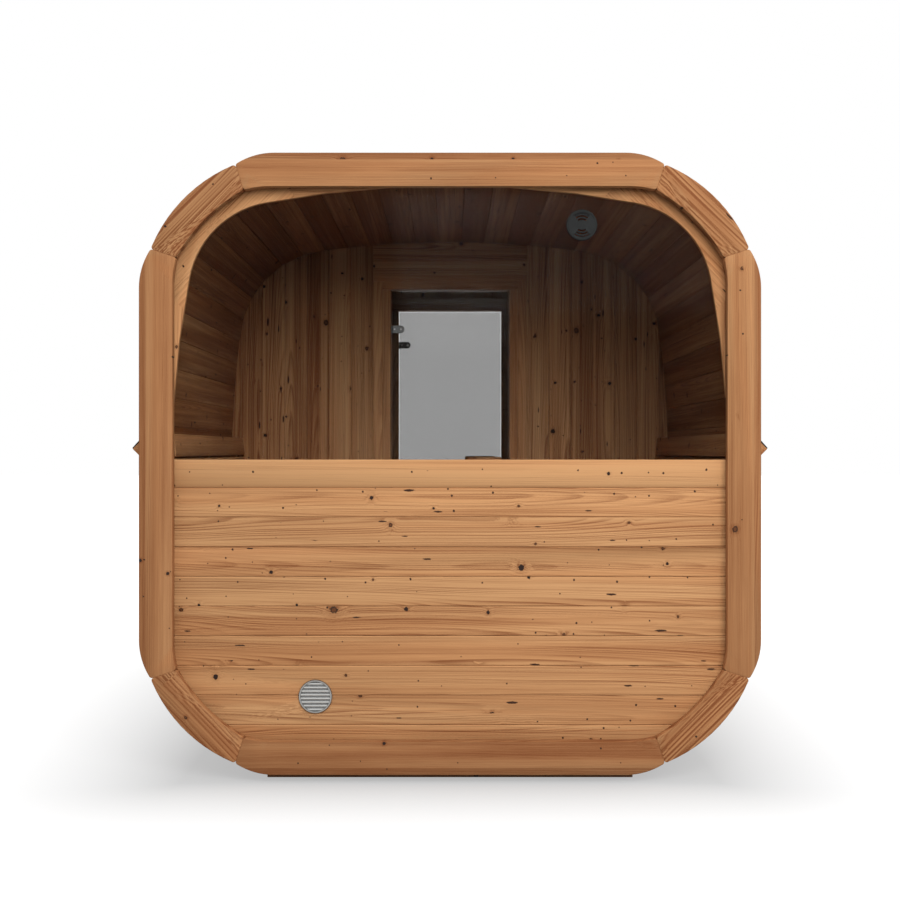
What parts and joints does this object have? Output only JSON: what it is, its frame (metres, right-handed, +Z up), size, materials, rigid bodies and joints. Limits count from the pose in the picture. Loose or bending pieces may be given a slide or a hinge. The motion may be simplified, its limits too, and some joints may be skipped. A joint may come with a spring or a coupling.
{
  "type": "outdoor sauna cabin",
  "caption": "Rounded-square stave-built sauna cabin with a half-glazed rear wall, a partition and two glass doors.",
  "frame": {"origin": "on the ground under the middle of the cabin", "axes": "+Z up, +Y from the windowed rear end to the front door, +X to the right seen from the rear"},
  "size_m": [2.364, 3, 2.33],
  "materials": {
    "ring_wood": "satin thermo-treated softwood",
    "corner_wood": "satin thermo-treated softwood",
    "stave_wood": "satin thermo-treated softwood",
    "wall_wood": "satin thermo-treated softwood",
    "partition_wood": "satin thermo-treated softwood",
    "frame_wood": "satin thermo-treated softwood",
    "bench_wood": "satin thermo-treated softwood",
    "bearer_wood": "satin thermo-treated softwood",
    "batten_wood": "satin thermo-treated softwood",
    "handle_wood": "satin thermo-treated softwood",
    "floor_wood": "satin thermo-treated softwood",
    "roofing_felt": "mineral-faced bitumen",
    "tinted_glass": "grey tinted toughened glass",
    "grille_metal": "satin",
    "vent_grey": "matt",
    "hinge_metal": "satin"
  },
  "bodies": {
    "root": {"rear_ring_top_beam": "ring_wood", "rear_ring_bottom_beam": "ring_wood", "rear_ring_side_beams": "ring_wood", "front_ring_top_beam": "ring_wood", "front_ring_bottom_beam": "ring_wood", "front_ring_side_beams": "ring_wood", "rear_ring_corner_timbers": "corner_wood", "front_ring_corner_timbers": "corner_wood", "roof_staves": "stave_wood", "floor_staves": "stave_wood", "left_side_staves": "stave_wood", "right_side_staves": "stave_wood", "upper_corner_staves": "stave_wood", "lower_corner_staves": "stave_wood", "roofing": "roofing_felt", "drip_battens": "batten_wood", "bearers": "bearer_wood", "rear_wall_boards": "wall_wood", "rear_sill_rail": "wall_wood", "rear_window_frame": "wall_wood", "rear_window_glass": "tinted_glass", "rear_wall_grille": "grille_metal", "rear_window_vent": "vent_grey", "partition_left_boards": "partition_wood", "partition_right_boards": "partition_wood", "partition_over_door": "partition_wood", "front_wall_left_boards": "partition_wood", "front_wall_right_boards": "partition_wood", "front_wall_over_door": "partition_wood", "inner_door_frame": "frame_wood", "outer_door_frame": "frame_wood", "inner_door_brackets": "hinge_metal", "outer_door_brackets": "hinge_metal", "left_bench": "bench_wood", "right_bench": "bench_wood", "left_backrest": "bench_wood", "right_backrest": "bench_wood", "room_floor": "floor_wood", "vestibule_floor": "floor_wood"},
    "inner_door": {"inner_door_glass": "tinted_glass", "inner_door_hinges": "hinge_metal", "inner_door_handle": "handle_wood"},
    "outer_door": {"outer_door_glass": "tinted_glass", "outer_door_hinges": "hinge_metal", "outer_door_handle": "handle_wood"}
  },
  "joints": [
    {"name": "inner_door_hinge", "type": "hinge", "parent": "root", "child": "inner_door", "pos_m": [-0.2925, 0.4045, 0.5], "axis": [0, 0, 1], "range_deg": [0, 95]},
    {"name": "outer_door_hinge", "type": "hinge", "parent": "root", "child": "outer_door", "pos_m": [-0.2925, 1.4625, 0.5], "axis": [0, 0, 1], "range_deg": [0, 110]}
  ]
}
